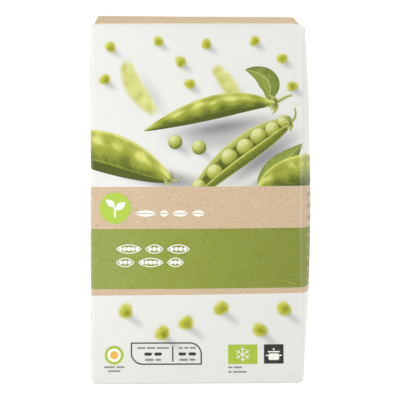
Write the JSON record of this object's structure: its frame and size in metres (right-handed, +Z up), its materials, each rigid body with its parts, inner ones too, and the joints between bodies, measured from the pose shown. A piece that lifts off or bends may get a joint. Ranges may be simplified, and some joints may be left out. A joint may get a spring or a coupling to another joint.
{
  "type": "frozen vegetable carton",
  "caption": "Shut upright folding carton for frozen garden peas, its panels swollen by the contents, with glued end flaps folded over at top and bottom.",
  "frame": {"origin": "below the middle of the whole carton, on the surface that it stands on", "axes": "+Z up along the carton's height, +Y from the front panel to the back panel, +X to the right seen from the front"},
  "size_m": [0.12, 0.0486, 0.1974],
  "materials": {
    "printed_board": "coated folding board printed with fields of white, kraft brown and leaf green, with a low satin sheen and pale worn folds",
    "kraft_board": "matte kraft brown board with fine fibres and specks",
    "white_board": "plain coated white board"
  },
  "bodies": {
    "root": {"carton_body": "printed_board", "top_outer_flap": "kraft_board", "top_inner_flap": "white_board", "bottom_outer_flap": "kraft_board", "bottom_inner_flap": "white_board"}
  },
  "joints": []
}
